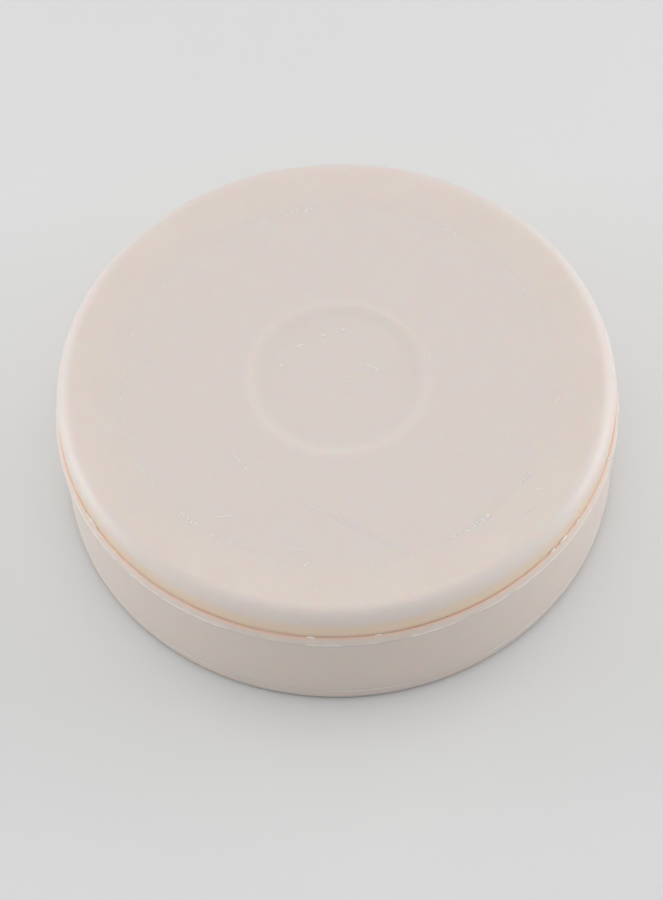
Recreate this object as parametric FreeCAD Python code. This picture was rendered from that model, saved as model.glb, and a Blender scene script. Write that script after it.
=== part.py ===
import FreeCAD, Part
import math
import os

from FreeCAD import Vector

# A puck of hard shaving soap, pressed between two dies inside a collar.
# Millimetres. The origin is the middle of the flat base, and +Z goes up through the top face.
# Every outline is drawn as (radius, height) in the XZ plane and turned about a vertical axis.

# Driving dimensions
puck_diameter = 76.0            # over the flash, the widest part
puck_height = 21.0
flash_stand_out = 0.15          # how far the flash stands out of the wall
upper_parting_height = 15.05    # where the upper die met the collar
lower_parting_height = 2.3      # where the lower die met the collar
upper_flash_height = 1.3
crease_depth = 0.12             # the groove between the upper flash and the shoulder
shoulder_radius = 2.2
base_draft = 0.1                # below the lower flash the soap is this much narrower in radius
base_edge_radius = 0.3
die_offset = (0.35, -0.6)       # the upper die's insert sits this far off the puck's axis
hollow_depth = 0.3              # the top face is this much lower inside the insert's circle
hollow_radius = 34.3
insert_radius = 29.0            # the round insert in the upper die leaves a fine circle
insert_line_width = 0.5
insert_line_depth = 0.12
dish_radius = 12.9
dish_depth = 0.7
dish_slope_width = 2.8

# Sizes that follow from them
flash_radius = puck_diameter / 2
wall_radius = flash_radius - flash_stand_out
base_radius = wall_radius - base_draft
core_radius = flash_radius - 4 * flash_stand_out
shoulder_outer_radius = core_radius - crease_depth / 2
upper_flash_top = upper_parting_height + upper_flash_height
crease_height = upper_flash_top + crease_depth
shoulder_foot = crease_height + crease_depth
shoulder_start = puck_height - shoulder_radius
lower_flash_root = (lower_parting_height - flash_stand_out, lower_parting_height + flash_stand_out)
lower_flash_radius = flash_radius - flash_stand_out / 4
flash_tip_radius = core_radius + 2 * flash_stand_out
face_height = puck_height - hollow_depth
dish_floor = face_height - dish_depth
die_axis = Vector(*die_offset, 0)

# Torn scraps of flash that lean out of the upper crease: (direction in degrees, width in degrees)
scraps = [(-149, 4.0), (-97, 2.0), (-84, 1.5), (-41, 3.0)]
scrap_lean = 0.35
scrap_height = 0.45
scrap_thickness = 0.1

# Crumbs that lie loose on the soap: (x, y, size)
crumbs = [(1.3, 7.2, 0.45), (-1.4, 6.5, 0.35), (-4.7, 4.9, 0.35), (5.2, 0.8, 0.4),
          (1.4, -0.5, 0.3), (15.7, -13.2, 0.3), (22.0, -11.5, 0.25), (-8.1, -21.0, 0.3)]


def point(radius, height):
    return Vector(radius, 0, height)


def line(start, end):
    return Part.LineSegment(start, end).toShape()


def quarter_arc(centre, radius, start, end):
    """Part of a circle in the XZ plane, between two angles in degrees from +X towards +Z."""
    angles = [math.radians(a) for a in (start, (start + end) / 2, end)]
    places = [centre + Vector(radius * math.cos(a), 0, radius * math.sin(a)) for a in angles]
    return Part.Arc(*places).toShape()


def polygon(points):
    return [line(a, b) for a, b in zip(points, points[1:] + points[:1])]


def turned(edges, degrees=360, axis=Vector(0, 0, 0)):
    """Turn a closed outline about a vertical axis."""
    face = Part.Face(Part.Wire(edges))
    return face.revolve(axis, Vector(0, 0, 1), degrees)


def blank():
    """The pressed disc: flat base, upright wall, seat for the flash, crease and round shoulder."""
    edge = point(base_radius - base_edge_radius, base_edge_radius)
    shoulder = point(shoulder_outer_radius - shoulder_radius, shoulder_start)
    wall = [
        point(base_radius, base_edge_radius),
        point(base_radius, lower_flash_root[0]),
        point(wall_radius, lower_flash_root[1]),
        point(wall_radius, upper_parting_height),
        point(core_radius, upper_parting_height),
        point(core_radius, upper_flash_top),
        point(core_radius - crease_depth, crease_height),
        point(shoulder_outer_radius, shoulder_foot),
        point(shoulder_outer_radius, shoulder_start),
    ]
    edges = [
        line(point(0, 0), point(base_radius - base_edge_radius, 0)),
        quarter_arc(edge, base_edge_radius, -90, 0),
    ]
    edges += [line(a, b) for a, b in zip(wall, wall[1:])]
    edges += [
        quarter_arc(shoulder, shoulder_radius, 0, 90),
        line(point(shoulder_outer_radius - shoulder_radius, puck_height), point(0, puck_height)),
        line(point(0, puck_height), point(0, 0)),
    ]
    return turned(edges)


def hollow_cutter():
    """The very slight hollow that the insert leaves in the top face."""
    corners = [
        die_axis + point(0, face_height),
        die_axis + point(insert_radius, face_height),
        die_axis + point(hollow_radius, puck_height),
        die_axis + point(hollow_radius, puck_height + hollow_depth),
        die_axis + point(0, puck_height + hollow_depth),
    ]
    return turned(polygon(corners), axis=die_axis)


def dish_cutter():
    """A shallow dish whose side is two equal arcs, each level where it meets the flat."""
    bend = (dish_slope_width ** 2 + dish_depth ** 2) / (4 * dish_depth)
    turn = math.degrees(2 * math.atan(dish_depth / dish_slope_width))
    floor_radius = dish_radius - dish_slope_width
    floor_middle = die_axis + point(0, dish_floor)
    floor_edge = die_axis + point(floor_radius, dish_floor)
    low_centre = die_axis + point(floor_radius, dish_floor + bend)
    high_centre = die_axis + point(dish_radius, face_height - bend)
    rim = die_axis + point(dish_radius, face_height)
    above_rim = die_axis + point(dish_radius, puck_height)
    above_middle = die_axis + point(0, puck_height)
    edges = [
        line(floor_middle, floor_edge),
        quarter_arc(low_centre, bend, -90, -90 + turn),
        quarter_arc(high_centre, bend, 90 + turn, 90),
        line(rim, above_rim),
        line(above_rim, above_middle),
        line(above_middle, floor_middle),
    ]
    return turned(edges, axis=die_axis)


def insert_line_cutter():
    """The fine V-shaped circle that the edge of the die's insert leaves."""
    corners = [
        die_axis + point(insert_radius, face_height - insert_line_depth),
        die_axis + point(insert_radius + insert_line_width, face_height + insert_line_depth),
        die_axis + point(insert_radius - insert_line_width, face_height + insert_line_depth),
    ]
    return turned(polygon(corners), axis=die_axis)


def soap_puck():
    return blank().cut(hollow_cutter()).cut(dish_cutter()).cut(insert_line_cutter())


def upper_flash():
    """The band of flash that the upper die left, seated on the wall's top edge."""
    corners = [
        point(core_radius, upper_parting_height),
        point(flash_radius, upper_parting_height),
        point(flash_tip_radius, upper_flash_top),
        point(core_radius, upper_flash_top),
    ]
    return turned(polygon(corners))


def lower_flash():
    """The thin fin that the lower die left."""
    corners = [
        point(base_radius, lower_flash_root[0]),
        point(lower_flash_radius, lower_parting_height),
        point(wall_radius, lower_flash_root[1]),
    ]
    return turned(polygon(corners))


def scrap(direction, width):
    """A short sliver that stands on the upper flash and leans outwards."""
    foot = flash_tip_radius - 1.5 * scrap_thickness
    top = upper_flash_top + scrap_height
    corners = [
        point(foot, upper_flash_top),
        point(foot + scrap_thickness, upper_flash_top),
        point(foot + scrap_lean, top),
        point(foot + scrap_lean - scrap_thickness, top),
    ]
    sliver = turned(polygon(corners), degrees=width)
    sliver.rotate(Vector(0, 0, 0), Vector(0, 0, 1), direction - width / 2)
    return sliver


def rim_scraps():
    return Part.makeCompound([scrap(direction, width) for direction, width in scraps])


def crumb(x, y, size):
    """A blunt wedge that rests on the face or, near the middle, on the dish floor."""
    in_dish = math.hypot(x - die_offset[0], y - die_offset[1]) < dish_radius - dish_slope_width - size
    rest = dish_floor if in_dish else face_height
    half = size / 2
    height = size * 0.6
    wedge = Part.makeWedge(-half, 0, -half, -half / 2, -half / 2, half, height, half, half / 3, half / 3)
    wedge.rotate(Vector(0, 0, 0), Vector(1, 0, 0), 90)
    wedge.rotate(Vector(0, 0, 0), Vector(0, 0, 1), 40 * x)
    wedge.translate(Vector(x, y, rest))
    return wedge


def loose_crumbs():
    return Part.makeCompound([crumb(x, y, size) for x, y, size in crumbs])


nodes = {
    "soap_puck": soap_puck,
    "upper_flash": upper_flash,
    "lower_flash": lower_flash,
    "rim_scraps": rim_scraps,
    "loose_crumbs": loose_crumbs,
}

os.makedirs("parts", exist_ok=True)
for name, make in nodes.items():
    shape = make()
    shape.exportStep("parts/" + name + ".step")
    print(name, "valid", shape.isValid(), "solids", len(shape.Solids), "volume %.1f mm3" % shape.Volume)
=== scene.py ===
import math

import bmesh
import bpy
import numpy as np
from mathutils import Matrix, Vector


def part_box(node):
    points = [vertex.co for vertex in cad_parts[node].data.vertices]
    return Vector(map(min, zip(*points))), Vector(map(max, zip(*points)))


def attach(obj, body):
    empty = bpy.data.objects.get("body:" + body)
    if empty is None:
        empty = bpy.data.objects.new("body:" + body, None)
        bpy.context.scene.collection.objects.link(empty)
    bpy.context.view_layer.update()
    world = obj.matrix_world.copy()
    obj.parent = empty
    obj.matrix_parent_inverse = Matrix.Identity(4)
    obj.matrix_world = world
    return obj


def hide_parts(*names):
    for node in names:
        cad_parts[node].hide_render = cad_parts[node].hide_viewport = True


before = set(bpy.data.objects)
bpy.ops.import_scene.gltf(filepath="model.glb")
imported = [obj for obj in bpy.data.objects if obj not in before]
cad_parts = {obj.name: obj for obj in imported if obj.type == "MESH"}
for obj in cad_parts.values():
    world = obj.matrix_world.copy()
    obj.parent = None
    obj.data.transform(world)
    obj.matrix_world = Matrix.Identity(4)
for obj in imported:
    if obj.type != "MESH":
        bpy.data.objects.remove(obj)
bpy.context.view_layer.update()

# A pressed puck of hard shaving soap on a pale floor.
# Shapes are worked out in millimetres about the puck's axis and stored in metres.
MM = 0.001

# Sizes read from the frame
puck_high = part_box("soap_puck")[1]
upper_low, upper_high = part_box("upper_flash")
lower_low, lower_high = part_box("lower_flash")
flash_radius = upper_high.x / MM
puck_top = puck_high.z / MM
wall_radius = puck_high.x / MM
upper_parting = upper_low.z / MM
upper_flash_top = upper_high.z / MM
lower_parting = (lower_low.z + lower_high.z) / 2 / MM
flash_stand_out = flash_radius - wall_radius

# Sizes that the frame's boxes don't give, in millimetres
base_edge_width = 1.5           # the base's edge is a low round, wider than it is high
base_edge_height = 0.8
base_fine_width = 2.0           # the base's outermost rings lie closer together
crease_depth = 0.08
shoulder_radius = 2.3
die_centre = (0.35, -0.6)       # the upper die's middle, a little off the puck's axis
hollow_depth = 0.3              # how far the die's middle sits below the rim of the top
hollow_radius = 34.3
insert_radius = 29.0
insert_line_width = 0.7
insert_line_depth = 0.035
dish_radius = 12.3
dish_depth = 0.7
dish_floor_radius = 8.4         # from here out the dish's side gets steadily steeper
pole_radius = 0.4               # the base and the top close with a small fan of this radius
widening_below = 0.15           # how far below the lower parting the wall starts to widen
widening_above = 0.2            # how far above it the wall has its full radius
flash_root_reach = 0.3          # how far up or down the wall a flash ring's root reaches
flash_tip_out = 0.14            # how far the upper flash's tip stands off the core
flash_root_in = 0.12            # how far its hidden side lies inside the core
core_radius = flash_radius - 4 * flash_stand_out
base_radius = wall_radius - 0.02        # the wall has a trace of draft below the lower parting
shoulder_outer_radius = core_radius - crease_depth / 2
shoulder_foot = upper_flash_top + 2 * crease_depth
shoulder_start = puck_top - shoulder_radius
rim_radius = shoulder_outer_radius - shoulder_radius

# How high the soap's own unevenness is, in millimetres
swell_height = 0.030
ripple_height = 0.012
grain_height = 0.005
drag_height = 0.010
crease_wave_height = 0.07
crease_ripple_height = 0.03
crease_wave_reach = 0.6         # how far up and down from the crease its waving fades out

# The camera, in millimetres and degrees
camera_distance = 300.0         # from the middle of the base
camera_elevation = 57.11
camera_aim = (-1.0, -5.2, 10.0)
camera_roll = -2.864
camera_lens = 85.0
sensor_width = 36.0             # on the picture's long side

# The light
light_aim = Vector((0, 0, 10))  # about the puck's middle, in millimetres
room_brightness = 0.602


# ---------------------------------------------------------------- small helpers

def lattice_noise(points, size, seed):
    """Smooth noise from -1 to 1 at points of shape (..., 3), with features about size across."""
    cells = 32
    table = np.random.default_rng(seed).uniform(-1, 1, (cells, cells, cells))
    scaled = np.asarray(points) / size
    low = np.floor(scaled)
    blend = scaled - low
    blend = blend * blend * (3 - 2 * blend)
    low = low.astype(int)
    total = 0
    for corner in np.ndindex(2, 2, 2):
        at = (low + corner) % cells
        weight = np.prod(np.where(np.array(corner) == 1, blend, 1 - blend), axis=-1)
        total = total + weight * table[at[..., 0], at[..., 1], at[..., 2]]
    return total


def smooth_step(value, start, end):
    """A soft rise from 0 at start to 1 at end."""
    ramp = np.clip((value - start) / (end - start), 0, 1)
    return ramp * ramp * (3 - 2 * ramp)


def mesh_object(name, points, faces, smooth=True):
    """A mesh object from points in millimetres, with its faces turned outwards."""
    mesh = bpy.data.meshes.new(name)
    mesh.from_pydata((np.asarray(points) * MM).tolist(), [], faces)
    mesh.validate()
    shell = bmesh.new()
    shell.from_mesh(mesh)
    bmesh.ops.recalc_face_normals(shell, faces=shell.faces)
    shell.to_mesh(mesh)
    shell.free()
    if smooth:
        mesh.shade_smooth()
    piece = bpy.data.objects.new(name, mesh)
    bpy.context.collection.objects.link(piece)
    return piece


def around(count):
    """Evenly spaced angles round a circle."""
    return np.linspace(0, 2 * math.pi, count, endpoint=False)


def ring_quads(rows, turns, closed_rows=False):
    """Quads between rows of points, each row a closed loop of turns points."""
    faces = []
    for row in range(rows if closed_rows else rows - 1):
        above = (row + 1) % rows
        for turn in range(turns):
            after = (turn + 1) % turns
            faces.append((row * turns + turn, row * turns + after,
                          above * turns + after, above * turns + turn))
    return faces


def run(start, end, steps):
    """Evenly spaced outline points from start up to, but not including, end."""
    return [tuple(np.array(start) + (np.array(end) - start) * i / steps) for i in range(steps)]


def path(stations):
    """Evenly spaced points between stations of (radius, height, steps to the next one)."""
    points = []
    for (radius, height, steps), after in zip(stations, stations[1:]):
        points += run((radius, height), after[:2], steps)
    return points


def bend(centre, radius, start, end, steps, squash=1.0):
    """Outline points of an arc between two angles in degrees, without its last point."""
    angles = np.radians(np.linspace(start, end, steps, endpoint=False))
    return [(centre[0] + radius * math.cos(a), centre[1] + radius * squash * math.sin(a))
            for a in angles]


# ---------------------------------------------------------------- the soap

def soap_outline():
    """(radius, height) points from the middle of the base round to the middle of the top."""
    off_axis = math.hypot(*die_centre)
    edge_start = base_radius - base_edge_width
    points = path([(pole_radius, 0, 22), (base_radius - base_fine_width, 0, 3), (edge_start, 0, 0)])
    points += bend((edge_start, base_edge_height), base_edge_width, -90, 0, 8,
                   squash=base_edge_height / base_edge_width)
    points += path([(base_radius, base_edge_height, 3),
                    (base_radius, lower_parting - widening_below, 3),
                    (wall_radius, lower_parting + widening_above, 24),
                    (wall_radius, upper_parting, 2),
                    (core_radius, upper_parting + 0.05, 4),
                    (core_radius, upper_flash_top, 3),
                    (core_radius - crease_depth, upper_flash_top + crease_depth, 3),
                    (shoulder_outer_radius, shoulder_foot, 7),
                    (shoulder_outer_radius, shoulder_start, 0)])
    points += bend((rim_radius, shoulder_start), shoulder_radius, 0, 90, 18)
    points += path([(rim_radius, puck_top, 12),
                    (insert_radius + insert_line_width + off_axis, puck_top, 22),
                    (insert_radius - insert_line_width - off_axis, puck_top, 28),
                    (dish_radius + off_axis, puck_top, 34),
                    (dish_floor_radius - off_axis, puck_top, 14),
                    (pole_radius, puck_top, 0)])
    points.append((pole_radius, puck_top))
    return np.array(points)


def outline_normals(outline):
    """Outward normals of the outline, which runs with the soap on its left."""
    along = np.gradient(outline, axis=0)
    length = np.linalg.norm(along, axis=1, keepdims=True)
    along = along / np.maximum(length, 1e-9)
    return np.stack([along[:, 1], -along[:, 0]], axis=1)


def press_marks(points):
    """How far the upper die's marks lower the top face at each point."""
    out = np.hypot(points[..., 0] - die_centre[0], points[..., 1] - die_centre[1])
    hollow = hollow_depth * np.clip((hollow_radius - out) / (hollow_radius - insert_radius), 0, 1)
    line = insert_line_depth * np.exp(-((out - insert_radius) / insert_line_width * 2) ** 2)
    wear = 0.5 + 0.5 * lattice_noise(points, 7.0, 11)
    up_side = np.clip((out - dish_floor_radius) / (dish_radius - dish_floor_radius), 0, 1)
    dish = dish_depth * (1 - smooth_step(up_side ** 2, 0, 1))
    return hollow + line * wear + dish


def soap_relief(points, upness):
    """Small swells and grain, and upright drag marks on the wall, along the surface's normal."""
    swell = swell_height * lattice_noise(points, 13.0, 1)
    swell += ripple_height * lattice_noise(points, 4.0, 2)
    grain = grain_height * lattice_noise(points, 1.1, 3)
    stretched = points * np.array([1, 1, 0.12])
    drag = drag_height * lattice_noise(stretched, 0.9, 4) * (1 - np.abs(upness))
    return swell + grain + drag


def soap_points(turns):
    """A ring of points for each point of the outline, with the relief and the press's marks."""
    outline = soap_outline()
    normals = outline_normals(outline)
    angles = around(turns)
    spokes = np.stack([np.cos(angles), np.sin(angles)], axis=1)
    points = np.zeros((len(outline), turns, 3))
    points[..., :2] = outline[:, None, :1] * spokes[None]
    points[..., 2] = outline[:, None, 1]
    upness = np.repeat(normals[:, 1:], turns, axis=1)
    relief = soap_relief(points, upness)
    on_base = points[..., 2] < base_edge_height * 0.5
    relief = np.where(on_base, -0.5 * np.abs(relief), relief)
    top = points[..., 2] > puck_top - 0.02
    sunk = np.where(top, press_marks(points), 0)
    wave = crease_wave_height * lattice_noise(points, 9.0, 5)
    wave += crease_ripple_height * lattice_noise(points, 2.5, 6)
    crease_height = upper_flash_top + crease_depth
    near_crease = np.exp(-((points[..., 2] - crease_height) / crease_wave_reach) ** 2)
    points[..., :2] += (relief * normals[:, None, 0])[..., None] * spokes[None]
    points[..., 2] += relief * normals[:, None, 1] - sunk + wave * near_crease
    points[..., 2] = np.clip(points[..., 2], 0, puck_top)
    return points


def make_soap():
    """The pressed soap, closed with a fan of faces at the middle of the base and of the top."""
    turns = 432
    points = soap_points(turns)
    rows = len(points)
    faces = ring_quads(rows, turns)
    bottom_pole = rows * turns
    top_pole = bottom_pole + 1
    last = (rows - 1) * turns
    for turn in range(turns):
        after = (turn + 1) % turns
        faces.append((bottom_pole, after, turn))
        faces.append((top_pole, last + turn, last + after))
    flat = points.reshape(-1, 3)
    poles = [(0, 0, points[0, :, 2].mean()), (0, 0, points[-1, :, 2].mean())]
    return mesh_object("pressed_soap", np.vstack([flat, poles]), faces)


# ---------------------------------------------------------------- the flash

def ring_from_sections(name, sections):
    """A closed ring from sections of shape (corners, turns, 2), in (radius, height)."""
    corners, turns, _ = sections.shape
    angles = around(turns)
    points = np.stack([sections[..., 0] * np.cos(angles), sections[..., 0] * np.sin(angles),
                       sections[..., 1]], axis=-1)
    return mesh_object(name, points.reshape(-1, 3), ring_quads(corners, turns, closed_rows=True))


def on_wall(turns):
    """Points round the puck's wall, where the flash's noise is read."""
    angles = around(turns)
    return np.stack([wall_radius * np.cos(angles), wall_radius * np.sin(angles),
                     np.zeros(turns)], axis=1)


def make_upper_flash():
    """A thin conical band with a ragged top edge and a lip that breaks off here and there."""
    turns = 1440
    where = on_wall(turns)
    ragged = lattice_noise(where, 0.55, 21)
    torn = smooth_step(lattice_noise(where, 3.2, 22), 0.25, 0.6)
    sway = lattice_noise(where, 8.0, 23)
    lip = flash_radius - 0.03 - 0.04 * np.abs(ragged) - 0.07 * torn
    rim = upper_parting + 0.09 * sway + 0.05 * ragged
    top = upper_flash_top - 0.04 + 0.04 * ragged + 0.05 * sway - 0.10 * torn * np.abs(ragged)
    tip = core_radius + flash_tip_out + 0.03 * ragged
    inner = np.full(turns, core_radius - flash_root_in)
    shelf = rim + 0.12
    shelf_radius = lip - 0.1
    rows = [(inner, rim - flash_root_reach), (lip - 0.20, rim - flash_root_reach),
            (lip - 0.05, rim - 0.10), (lip, rim + 0.03), (lip - 0.03, shelf)]
    for part in (0.2, 0.4, 0.6, 0.8):
        rough = 0.02 * lattice_noise(where + (0, 0, part * 2), 0.5, 24)
        radius = shelf_radius + (tip - shelf_radius) * part + rough
        rows.append((radius, shelf + (top - shelf) * part))
    rows += [(tip, top), (inner, top - 0.03)]
    sections = np.array([np.stack(row, axis=1) for row in rows])
    return ring_from_sections("upper_flash_band", sections)


def make_lower_flash():
    """A fine fin, a little broken along its edge."""
    turns = 1440
    where = on_wall(turns)
    ragged = lattice_noise(where, 0.6, 31)
    worn = smooth_step(lattice_noise(where, 5.0, 32), 0.1, 0.6)
    sway = 0.03 * lattice_noise(where, 6.0, 33)
    edge = flash_radius - 0.08 - 0.02 * np.abs(ragged) - 0.03 * worn
    middle = lower_parting + sway
    inner = np.full(turns, base_radius - 0.1)
    root = np.full(turns, wall_radius - 0.02)
    rows = [(inner, middle - 0.35), (root, middle - flash_root_reach), (edge - 0.02, middle - 0.08),
            (edge, middle), (root, middle + 0.25), (inner, middle + flash_root_reach)]
    sections = np.array([np.stack(row, axis=1) for row in rows])
    return ring_from_sections("lower_flash_fin", sections)


# ---------------------------------------------------------------- crumbs, scraps and smears

def lump(centre, size, rng):
    """A small angular bit: a squashed, jittered icosahedron."""
    golden = (1 + 5 ** 0.5) / 2
    corners = []
    for a in (-1, 1):
        for b in (-golden, golden):
            corners += [(0, a, b), (a, b, 0), (b, 0, a)]
    corners = np.array(corners) / math.hypot(1, golden)
    corners = corners * rng.uniform(0.65, 1.15, (12, 1))
    spin = rng.uniform(0, 2 * math.pi)
    turned = np.array([[math.cos(spin), -math.sin(spin), 0],
                       [math.sin(spin), math.cos(spin), 0], [0, 0, 1]])
    return corners * np.asarray(size) / 2 @ turned.T + np.asarray(centre)


def hull_faces(corners):
    """The convex hull of a few points, as points and faces."""
    shell = bmesh.new()
    for corner in corners:
        shell.verts.new(corner)
    made = bmesh.ops.convex_hull(shell, input=shell.verts)
    spare = [v for v in made["geom_interior"] if isinstance(v, bmesh.types.BMVert)]
    bmesh.ops.delete(shell, geom=spare, context="VERTS")
    shell.verts.index_update()
    points = [tuple(v.co) for v in shell.verts]
    faces = [tuple(v.index for v in f.verts) for f in shell.faces]
    shell.free()
    return points, faces


def joined(name, shells):
    """One object from a list of (points, faces)."""
    points, faces = [], []
    for some_points, some_faces in shells:
        start = len(points)
        points += [tuple(p) for p in some_points]
        faces += [tuple(i + start for i in f) for f in some_faces]
    return mesh_object(name, points, faces, smooth=False)


def top_height(x, y):
    """The height of the soap's top at a place on it."""
    point = np.array([[x, y, puck_top]], float)
    relief = soap_relief(point, np.array([1.0]))
    return float((puck_top + relief - press_marks(point))[0])


# Crumbs that lie on the soap, as (x, y, size): the larger ones that catch the eye
large_crumbs = [(1.3, 7.5, 0.70), (-1.4, 6.8, 0.60), (-4.7, 5.2, 0.50), (-7.2, 2.1, 0.45),
                (1.4, -0.2, 0.35), (12.6, 2.0, 0.35), (15.7, -13.2, 0.25), (22.0, -11.5, 0.25),
                (-8.1, -21.0, 0.25), (-3.6, -33.0, 0.30), (-19.6, -21.7, 0.40), (24.3, -22.9, 0.35)]

# Stretches of the insert's circle where dry soap dust has gathered: (start, end, amount) in degrees
dusty_stretches = [(-64, -57, 0.6), (-57, -50, 1.0), (-40, -33, 0.6), (-12, -8, 0.4),
                   (-101, -98, 0.7), (-126, -108, 0.25), (-136, -131, 0.7), (-96, -72, 0.15),
                   (95, 103, 0.7), (108, 117, 0.5), (53, 57, 0.6), (20, 32, 0.15),
                   (160, 215, 0.15)]
dust_per_mm = 9                 # bits along each millimetre of a stretch whose amount is 1

# Scattered specks, over the whole top and in the dish, as (count, reach, smallest, largest)
scatters = [(90, 31, 0.05, 0.13), (24, 9, 0.06, 0.16)]


def dust_crumbs(rng):
    """Fine bits along the insert's circle."""
    bits = []
    for start, end, amount in dusty_stretches:
        length = math.radians(end - start) * insert_radius
        for _ in range(int(length * amount * dust_per_mm)):
            angle = math.radians(rng.uniform(start, end))
            radius = insert_radius + rng.normal(0, 0.10 + 0.10 * amount)
            size = rng.uniform(0.08, 0.20) * (0.8 + 0.6 * amount)
            x = die_centre[0] + radius * math.cos(angle)
            y = die_centre[1] + radius * math.sin(angle)
            bits.append(((x, y, top_height(x, y)), (size * 1.6, size, size * 0.3)))
    return bits


def scattered_crumbs(rng):
    """A light scatter of specks over the whole top, and a few more in the dish."""
    bits = []
    for count, reach, smallest, largest in scatters:
        for _ in range(count):
            radius = reach * math.sqrt(rng.uniform())
            angle = rng.uniform(0, 2 * math.pi)
            size = rng.uniform(smallest, largest)
            x, y = radius * math.cos(angle), radius * math.sin(angle)
            bits.append(((x, y, top_height(x, y) + size * 0.1), (size, size, size * 0.5)))
    return bits


def make_crumbs():
    """Every loose crumb and speck on the top, as one object."""
    rng = np.random.default_rng(41)
    bits = [((x, y, top_height(x, y) + size * 0.06), (size, size * 0.7, size * 0.35))
            for x, y, size in large_crumbs]
    bits += dust_crumbs(rng)
    bits += scattered_crumbs(rng)
    return joined("crumbs_and_dust", [hull_faces(lump(centre, size, rng)) for centre, size in bits])


# Fine scratches across the top, as (start, end, width)
scratches = [((-4.6, -20.1), (8.6, -28.3), 0.18), ((-14.0, -11.6), (-11.5, -15.4), 0.16),
             ((22.3, -23.8), (24.9, -21.9), 0.18), ((24.2, -20.0), (26.4, -19.3), 0.16),
             ((-16.0, -21.6), (-13.0, -21.4), 0.20), ((-25.0, 4.2), (-23.6, 2.3), 0.16),
             ((-7.3, -26.4), (-4.1, -27.3), 0.16), ((-5.5, 5.2), (-4.0, 5.5), 0.22),
             ((4.1, 1.7), (5.7, 0.8), 0.22)]
smear_piece_length = 0.7
smear_gap_chance = 0.15
smear_edge_depth = 0.006        # how far a smear's edges are sunk into the soap
smear_crown_rise = 0.009        # how far its middle stands up


def smear(start, end, width, rng):
    """The dry smear that a scratch leaves, in short low pieces between start and end."""
    start, end = np.array(start, float), np.array(end, float)
    length = np.linalg.norm(end - start)
    across = np.array([-(end - start)[1], (end - start)[0]]) / length
    pieces = []
    steps = max(2, int(length / smear_piece_length))
    for i in range(steps):
        if rng.uniform() < smear_gap_chance:
            continue
        ends = [start + (end - start) * (i + t) / steps for t in (0.0, 1.02)]
        drift = rng.normal(0, 0.02, 2)
        half = width / 2 * rng.uniform(0.6, 1.1)
        corners = []
        for place, offset in zip(ends, drift):
            centre = place + across * offset
            ground = top_height(*centre)
            for side, rise in ((-1, -smear_edge_depth), (-0.2, smear_crown_rise),
                               (0.2, smear_crown_rise), (1, -smear_edge_depth)):
                spot = centre + across * side * half
                corners.append((spot[0], spot[1], ground + rise))
        pieces.append((corners, [(0, 1, 5, 4), (1, 2, 6, 5), (2, 3, 7, 6), (3, 0, 4, 7),
                                 (0, 3, 2, 1), (4, 5, 6, 7)]))
    return pieces


def make_smears():
    """Every scratch's smear, as one object."""
    rng = np.random.default_rng(51)
    pieces = []
    for start, end, width in scratches:
        pieces += smear(start, end, width, rng)
    return joined("scratch_smears", pieces)


# Torn bits of flash in the upper crease, as (direction in degrees, width in degrees, rise)
scraps = [(-149.5, 2.6, 0.42), (-151.5, 1.2, 0.25), (-97, 1.6, 0.25), (-84, 1.2, 0.2),
          (-41, 2.2, 0.35), (-44.5, 1.4, 0.25), (-36, 1.0, 0.2), (-20, 1.2, 0.25),
          (35, 1.5, 0.25), (100, 1.8, 0.3), (160, 1.2, 0.25)]
scrap_thickness = 0.24
scrap_foot_drop = 0.1           # how far a scrap's foot is sunk below the flash's top


def scrap_shell(direction, width, rise, rng):
    """A torn sliver: two sheets of points, thinner at the top, standing in the crease."""
    columns, levels = 7, 4
    angles = np.radians(np.linspace(direction - width / 2, direction + width / 2, columns))
    foot = core_radius + flash_tip_out
    outer, inner = [], []
    for level in range(levels):
        up = level / (levels - 1)
        for column, angle in enumerate(angles):
            taper = math.sin(math.pi * (column + 0.5) / columns)
            height = upper_flash_top - scrap_foot_drop + rng.normal(0, 0.015)
            height += (rise + scrap_foot_drop) * up * (0.35 + 0.65 * taper)
            radius = foot + 0.06 * up * taper + rng.normal(0, 0.02)
            outer.append((radius * math.cos(angle), radius * math.sin(angle), height))
            radius -= scrap_thickness * (1 - 0.2 * up)
            inner.append((radius * math.cos(angle), radius * math.sin(angle), height))
    half = columns * levels
    faces = []
    for level in range(levels - 1):
        for column in range(columns - 1):
            a = level * columns + column
            b, c, d = a + 1, a + columns + 1, a + columns
            faces.append((a, b, c, d))
            faces.append((a + half, d + half, c + half, b + half))
    rim = list(range(columns))
    rim += [columns * level + columns - 1 for level in range(1, levels)]
    rim += [columns * (levels - 1) + column for column in range(columns - 2, -1, -1)]
    rim += [columns * level for level in range(levels - 2, 0, -1)]
    for a, b in zip(rim, rim[1:] + rim[:1]):
        faces.append((b, a, a + half, b + half))
    return outer + inner, faces


def make_scraps():
    """Every torn scrap in the crease, as one object."""
    rng = np.random.default_rng(61)
    return joined("torn_scraps", [scrap_shell(*scrap, rng) for scrap in scraps])


# ---------------------------------------------------------------- materials

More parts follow.
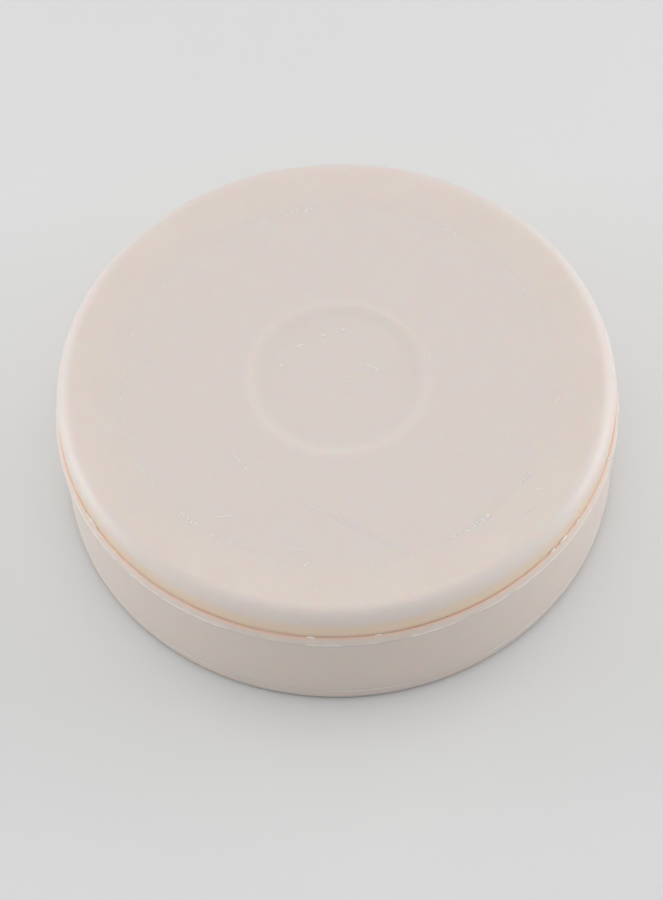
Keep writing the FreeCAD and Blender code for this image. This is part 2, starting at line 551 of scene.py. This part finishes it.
class Nodes:
    """A material's node tree, with short ways to add what these materials share."""

    def __init__(self, name):
        self.material = bpy.data.materials.new(name)
        self.material.use_nodes = True
        self.tree = self.material.node_tree
        self.tree.nodes.clear()
        self.shader = self.tree.nodes.new("ShaderNodeBsdfPrincipled")
        output = self.tree.nodes.new("ShaderNodeOutputMaterial")
        self.join(self.shader.outputs[0], output.inputs[0])
        self.place = self.tree.nodes.new("ShaderNodeTexCoord").outputs["Object"]
        split = self.tree.nodes.new("ShaderNodeSeparateXYZ")
        self.join(self.place, split.inputs[0])
        self.along_axes = split.outputs

    def join(self, source, target):
        self.tree.links.new(source, target)

    def put(self, socket, value):
        """Link value if it is a socket, or set it."""
        if isinstance(value, bpy.types.NodeSocket):
            self.join(value, socket)
        else:
            socket.default_value = value

    def math(self, operation, first, second=0.0):
        node = self.tree.nodes.new("ShaderNodeMath")
        node.operation = operation
        self.put(node.inputs[0], first)
        self.put(node.inputs[1], second)
        return node.outputs[0]

    def noise(self, size_mm, detail):
        """Noise from 0 to 1 whose features are about size_mm across."""
        node = self.tree.nodes.new("ShaderNodeTexNoise")
        node.inputs["Scale"].default_value = 1 / (size_mm * MM)
        node.inputs["Detail"].default_value = detail
        self.join(self.place, node.inputs["Vector"])
        return node.outputs[0]

    def ramp(self, value, start, end, low=0.0, high=1.0):
        """A soft change from low, where value is start, to high, where it is end."""
        node = self.tree.nodes.new("ShaderNodeMapRange")
        node.interpolation_type = "SMOOTHSTEP"
        self.put(node.inputs["Value"], value)
        node.inputs["From Min"].default_value = start
        node.inputs["From Max"].default_value = end
        node.inputs["To Min"].default_value = low
        node.inputs["To Max"].default_value = high
        return node.outputs[0]

    def fade(self, value, start_mm, end_mm):
        """A soft rise from 0 to 1 between two places along value, which is in metres."""
        return self.ramp(value, start_mm * MM, end_mm * MM)

    def mix(self, amount, first, second):
        """The first colour where amount is 0 and the second where it is 1."""
        node = self.tree.nodes.new("ShaderNodeMix")
        node.data_type = "RGBA"
        self.put(node.inputs["Factor"], amount)
        for socket, value in ((node.inputs[6], first), (node.inputs[7], second)):
            self.put(socket, (*value, 1) if isinstance(value, tuple) else value)
        return node.outputs[2]

    def height(self):
        """Height above the floor, in metres."""
        return self.along_axes[2]

    def radius(self, centre=(0, 0)):
        """Distance from an upright axis through centre, which is in mm; the result is in metres."""
        offsets = [self.math("SUBTRACT", self.along_axes[i], centre[i] * MM) for i in (0, 1)]
        squares = [self.math("MULTIPLY", offset, offset) for offset in offsets]
        return self.math("SQRT", self.math("ADD", squares[0], squares[1]))

    def bump(self, heights):
        """Chain bumps from (height socket, distance in mm, strength)."""
        normal = None
        for height, distance_mm, strength in heights:
            node = self.tree.nodes.new("ShaderNodeBump")
            node.inputs["Distance"].default_value = distance_mm * MM
            node.inputs["Strength"].default_value = strength
            self.join(height, node.inputs["Height"])
            if normal:
                self.join(normal, node.inputs["Normal"])
            normal = node.outputs[0]
        self.join(normal, self.shader.inputs["Normal"])

    def set(self, name, value):
        """Set one of the shader's own sockets."""
        self.put(self.shader.inputs[name], value)

    def roughen(self, noise, smoothest, roughest):
        """Roughness that varies with a noise."""
        self.set("Roughness", self.ramp(noise, 0.3, 0.7, smoothest, roughest))


# Colours, as linear red, green and blue
warm_soap = (0.805, 0.720, 0.660)
warm_soap_paler = (0.815, 0.730, 0.675)
bloomed_soap = (0.795, 0.718, 0.680)
# a paler ring at the dish's lip: painted highlight
painted_lip_highlight = (0.803, 0.733, 0.693)
# a paler, cooler band round the shoulder: painted highlight
painted_shoulder_highlight = (0.795, 0.733, 0.698)
# darker and orange down the shoulder and into the crease: painted shade, tinted like light through
# the soap
painted_shoulder_shade = (0.870, 0.700, 0.550)
painted_crease_shade = (0.935, 0.635, 0.475)
wall_soap = (0.760, 0.664, 0.608)
# dark at the bottom of the wall: painted contact shade
painted_foot_shade = (0.440, 0.370, 0.325)
soap_dust = (0.86, 0.80, 0.77)
flash_skin = (0.790, 0.682, 0.612)
flash_skin_paler = (0.810, 0.707, 0.642)
flash_edge = (0.960, 0.880, 0.830)
# orange where the flash meets the crease: painted shade, tinted like light through the soap
painted_crease_shade_on_flash = (0.930, 0.650, 0.520)
crumb = (0.93, 0.87, 0.83)
crumb_paler = (0.98, 0.94, 0.91)
dried_soap = (0.90, 0.84, 0.80)
dried_soap_paler = (0.95, 0.90, 0.87)
paper = (0.772, 0.776, 0.775)
paper_paler = (0.786, 0.790, 0.789)

# Where the dry bloom on the top begins and where it is full, in millimetres from the axis
bloom_start = 33
bloom_full = 27


def soap_material():
    """Milled soap: translucent, with a dry bloom on top, painted shade tinted orange down the
    shoulder and into the crease, painted highlights round the shoulder and the dish's lip, and
    painted shade at the foot.
    """
    n = Nodes("milled_soap")
    height = n.height()
    radius = n.radius()
    from_die = n.radius(die_centre)
    mottle = n.noise(7.0, 4.0)
    fine = n.noise(0.9, 3.0)
    bloom = n.fade(radius, bloom_start, bloom_full)
    # A ring round the dish's lip takes a painted highlight.
    lip_inside = n.fade(from_die, dish_radius - 1.6, dish_radius - 0.6)
    lip_outside = n.fade(from_die, dish_radius + 0.9, dish_radius - 0.1)
    lip = n.math("MULTIPLY", lip_inside, lip_outside)
    # rim: a band round the shoulder that takes a painted highlight
    rim = n.fade(radius, rim_radius - 0.2, rim_radius + 1.2)
    # Down the shoulder and at the crease the colour is painted shade, tinted orange like light
    # through the soap.
    shade_below_rim = n.fade(height, puck_top - 1.1, shoulder_start - 0.6)
    crease = n.fade(height, shoulder_foot + 0.9, shoulder_foot)
    wall = n.fade(height, upper_flash_top + 0.1, upper_parting + 0.2)
    # foot: painted contact shade along the bottom of the wall
    foot = n.fade(height, 1.7 * base_edge_height, 0)
    dusty = n.math("MULTIPLY", n.ramp(fine, 0.60, 0.80), n.ramp(mottle, 0.4, 0.7, 0.04, 0.16))
    colour = n.mix(n.ramp(mottle, 0.35, 0.65), warm_soap, warm_soap_paler)
    for mask, layer in ((bloom, bloomed_soap), (lip, painted_lip_highlight), (rim, painted_shoulder_highlight),
                        (shade_below_rim, painted_shoulder_shade), (crease, painted_crease_shade), (wall, wall_soap),
                        (foot, painted_foot_shade), (dusty, soap_dust)):
        colour = n.mix(mask, colour, layer)
    n.set("Base Color", colour)
    n.roughen(n.noise(2.2, 4.0), 0.34, 0.42)
    n.set("IOR", 1.5)
    n.set("Subsurface Weight", 1.0)
    n.set("Subsurface Radius", (1.0, 0.45, 0.25))
    n.set("Subsurface Scale", 0.0012)
    n.bump([(n.noise(2.5, 4.0), 0.02, 0.35), (n.noise(0.35, 2.0), 0.008, 0.4)])
    return n.material


def flash_material():
    """The dry skin of the flash, chalkier towards its edges, with painted shade tinted orange where
    it meets the soap's crease.
    """
    n = Nodes("dry_flash_skin")
    radius = n.radius()
    mottle = n.ramp(n.noise(1.2, 4.0), 0.35, 0.7)
    skin = n.mix(mottle, flash_skin, flash_skin_paler)
    edge = n.fade(radius, wall_radius + 0.01, flash_radius - 0.06)
    edged = n.mix(edge, skin, flash_edge)
    # inside: painted shade, tinted orange, where the flash meets the crease
    inside = n.fade(radius, core_radius + 0.30, core_radius + 0.10)
    n.set("Base Color", n.mix(inside, edged, painted_crease_shade_on_flash))
    n.roughen(n.noise(0.5, 3.0), 0.6, 0.8)
    n.set("IOR", 1.46)
    n.bump([(n.noise(0.3, 3.0), 0.01, 0.5)])
    return n.material


def crumb_material():
    """Dry white crumbs and dust."""
    n = Nodes("dry_soap_crumb")
    n.set("Base Color", n.mix(n.noise(0.4, 2.0), crumb, crumb_paler))
    n.roughen(n.noise(0.3, 2.0), 0.55, 0.75)
    n.bump([(n.noise(0.12, 2.0), 0.005, 0.3)])
    return n.material


def smear_material():
    """Soap dragged thin and dried, a little paler than the face it lies on."""
    n = Nodes("dried_smear")
    n.set("Base Color", n.mix(n.noise(0.8, 2.0), dried_soap, dried_soap_paler))
    n.roughen(n.noise(0.4, 2.0), 0.45, 0.65)
    n.bump([(n.noise(0.2, 2.0), 0.005, 0.3)])
    return n.material


def floor_material():
    """Matt pale grey paper."""
    n = Nodes("studio_paper")
    n.set("Base Color", n.mix(n.noise(60.0, 2.0), paper, paper_paler))
    n.roughen(n.noise(1.5, 3.0), 0.75, 0.9)
    n.bump([(n.noise(0.6, 3.0), 0.01, 0.3)])
    return n.material


def dress(piece, material, node):
    """Give a piece its material and put it in place of its CAD node."""
    piece.data.materials.append(material)
    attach(piece, "root")
    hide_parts(node)


# ---------------------------------------------------------------- studio

def make_floor():
    """A wide paper floor that sweeps up all round, well behind the lights."""
    flat, sweep, top = 900.0, 500.0, 1200.0
    outline = run((20, 0), (flat, 0), 8) + bend((flat, sweep), sweep, -90, 0, 12)
    outline += run((flat + sweep, sweep), (flat + sweep, top), 3)
    outline = np.array(outline)
    turns = 96
    angles = around(turns)
    points = np.zeros((len(outline), turns, 3))
    points[..., 0] = outline[:, None, 0] * np.cos(angles)
    points[..., 1] = outline[:, None, 0] * np.sin(angles)
    points[..., 2] = outline[:, None, 1]
    faces = ring_quads(len(outline), turns)
    faces.append(tuple(range(turns)))
    floor = mesh_object("paper_floor", points.reshape(-1, 3), faces)
    floor.data.materials.append(floor_material())


def make_light(name, place, size, watts):
    """A soft square light aimed at the puck's middle, with place and size in millimetres."""
    lamp = bpy.data.lights.new(name, "AREA")
    lamp.shape = "SQUARE"
    lamp.size = size * MM
    lamp.energy = watts
    light = bpy.data.objects.new(name, lamp)
    light.location = Vector(place) * MM
    light.rotation_euler = (light_aim - Vector(place)).to_track_quat("-Z", "Y").to_euler()
    bpy.context.collection.objects.link(light)


def make_lights():
    """Soft lights above, at both sides and behind, in an evenly lit room."""
    make_light("overhead_softbox", (0, 0, 700), 500, 0.78)
    make_light("left_softbox", (-400, 30, 110), 230, 0.47)
    make_light("right_softbox", (400, 30, 110), 230, 0.49)
    make_light("left_rear_softbox", (-560, 420, 350), 400, 0.54)
    make_light("right_rear_softbox", (560, 420, 350), 400, 0.68)
    world = bpy.data.worlds.new("pale_room")
    world.use_nodes = True
    background = world.node_tree.nodes["Background"]
    background.inputs["Color"].default_value = (1, 1, 1, 1)
    background.inputs["Strength"].default_value = room_brightness
    bpy.context.scene.world = world
    bpy.context.scene.view_settings.view_transform = "Standard"


def make_camera():
    """The camera at the photograph's viewing angle."""
    lens = bpy.data.cameras.new("camera")
    lens.lens = camera_lens
    lens.sensor_width = sensor_width
    lens.clip_start, lens.clip_end = 0.01, 10
    camera = bpy.data.objects.new("camera", lens)
    up = math.radians(camera_elevation)
    place = Vector((0, -math.cos(up), math.sin(up))) * camera_distance
    forward = (Vector(camera_aim) - place).normalized()
    level = forward.cross(Vector((0, 0, 1))).normalized()
    axes = Matrix((level, level.cross(forward), -forward)).transposed()
    turn = Matrix.Rotation(math.radians(camera_roll), 3, "Z")
    camera.matrix_world = Matrix.Translation(place * MM) @ (axes @ turn).to_4x4()
    bpy.context.collection.objects.link(camera)
    bpy.context.scene.camera = camera


make_camera()
make_floor()
make_lights()

dry_flash = flash_material()
dry_crumb = crumb_material()
dress(make_soap(), soap_material(), "soap_puck")
dress(make_upper_flash(), dry_flash, "upper_flash")
dress(make_lower_flash(), dry_flash, "lower_flash")
dress(make_scraps(), dry_crumb, "rim_scraps")
dress(make_crumbs(), dry_crumb, "loose_crumbs")
smears = make_smears()
smears.data.materials.append(smear_material())
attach(smears, "root")
